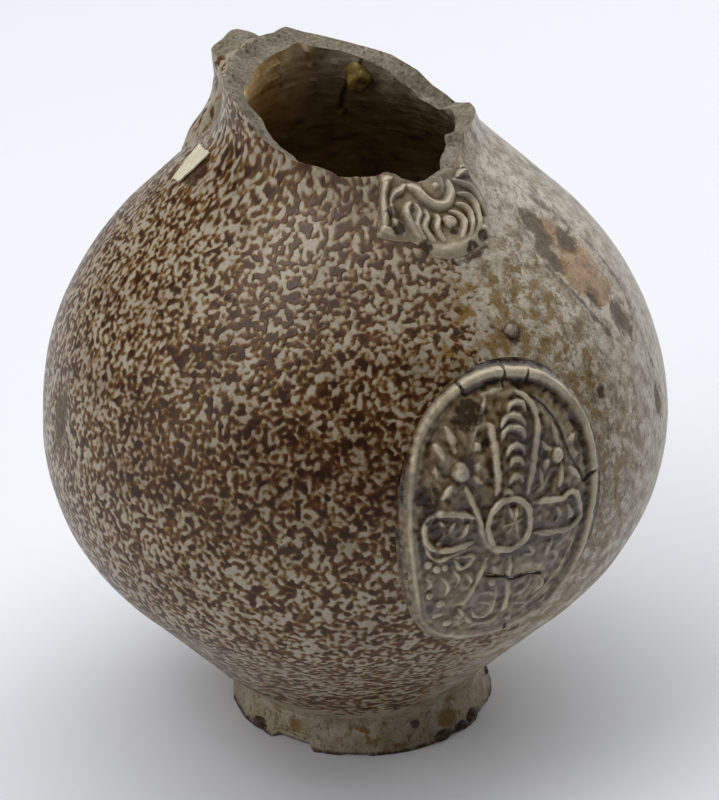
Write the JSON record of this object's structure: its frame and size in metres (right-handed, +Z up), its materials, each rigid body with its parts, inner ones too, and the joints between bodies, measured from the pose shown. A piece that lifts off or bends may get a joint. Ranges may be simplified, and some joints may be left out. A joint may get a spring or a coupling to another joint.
{
  "type": "bartmann jug",
  "caption": "Globular salt-glazed stoneware jug broken off at the neck, with an applied oval medallion, moulded beard and the root of a strap handle.",
  "frame": {"origin": "centre of the flat underside of the foot", "axes": "+Z up along the throwing axis, -Y towards the medallion and beard, handle root on the +Y side"},
  "size_m": [0.15, 0.1525, 0.1692],
  "materials": {
    "salt_glazed_stoneware": "semi-gloss salt glaze, brown mottle over grey",
    "pressed_stoneware": "semi-gloss salt glaze over pressed relief",
    "pooled_glaze": "glossy pooled glaze",
    "old_adhesive": "yellowed resin adhesive",
    "paper": "aged matt paper",
    "kiln_grit": "rough fused grit"
  },
  "bodies": {
    "root": {"body": "salt_glazed_stoneware", "neck_sherd": "salt_glazed_stoneware", "handle_root": "salt_glazed_stoneware", "beard_sprig": "pressed_stoneware", "medallion_sprig": "pressed_stoneware", "glaze_drop": "pooled_glaze", "glue_bead": "old_adhesive", "paper_scrap": "paper", "kiln_grit": "kiln_grit"}
  },
  "joints": []
}
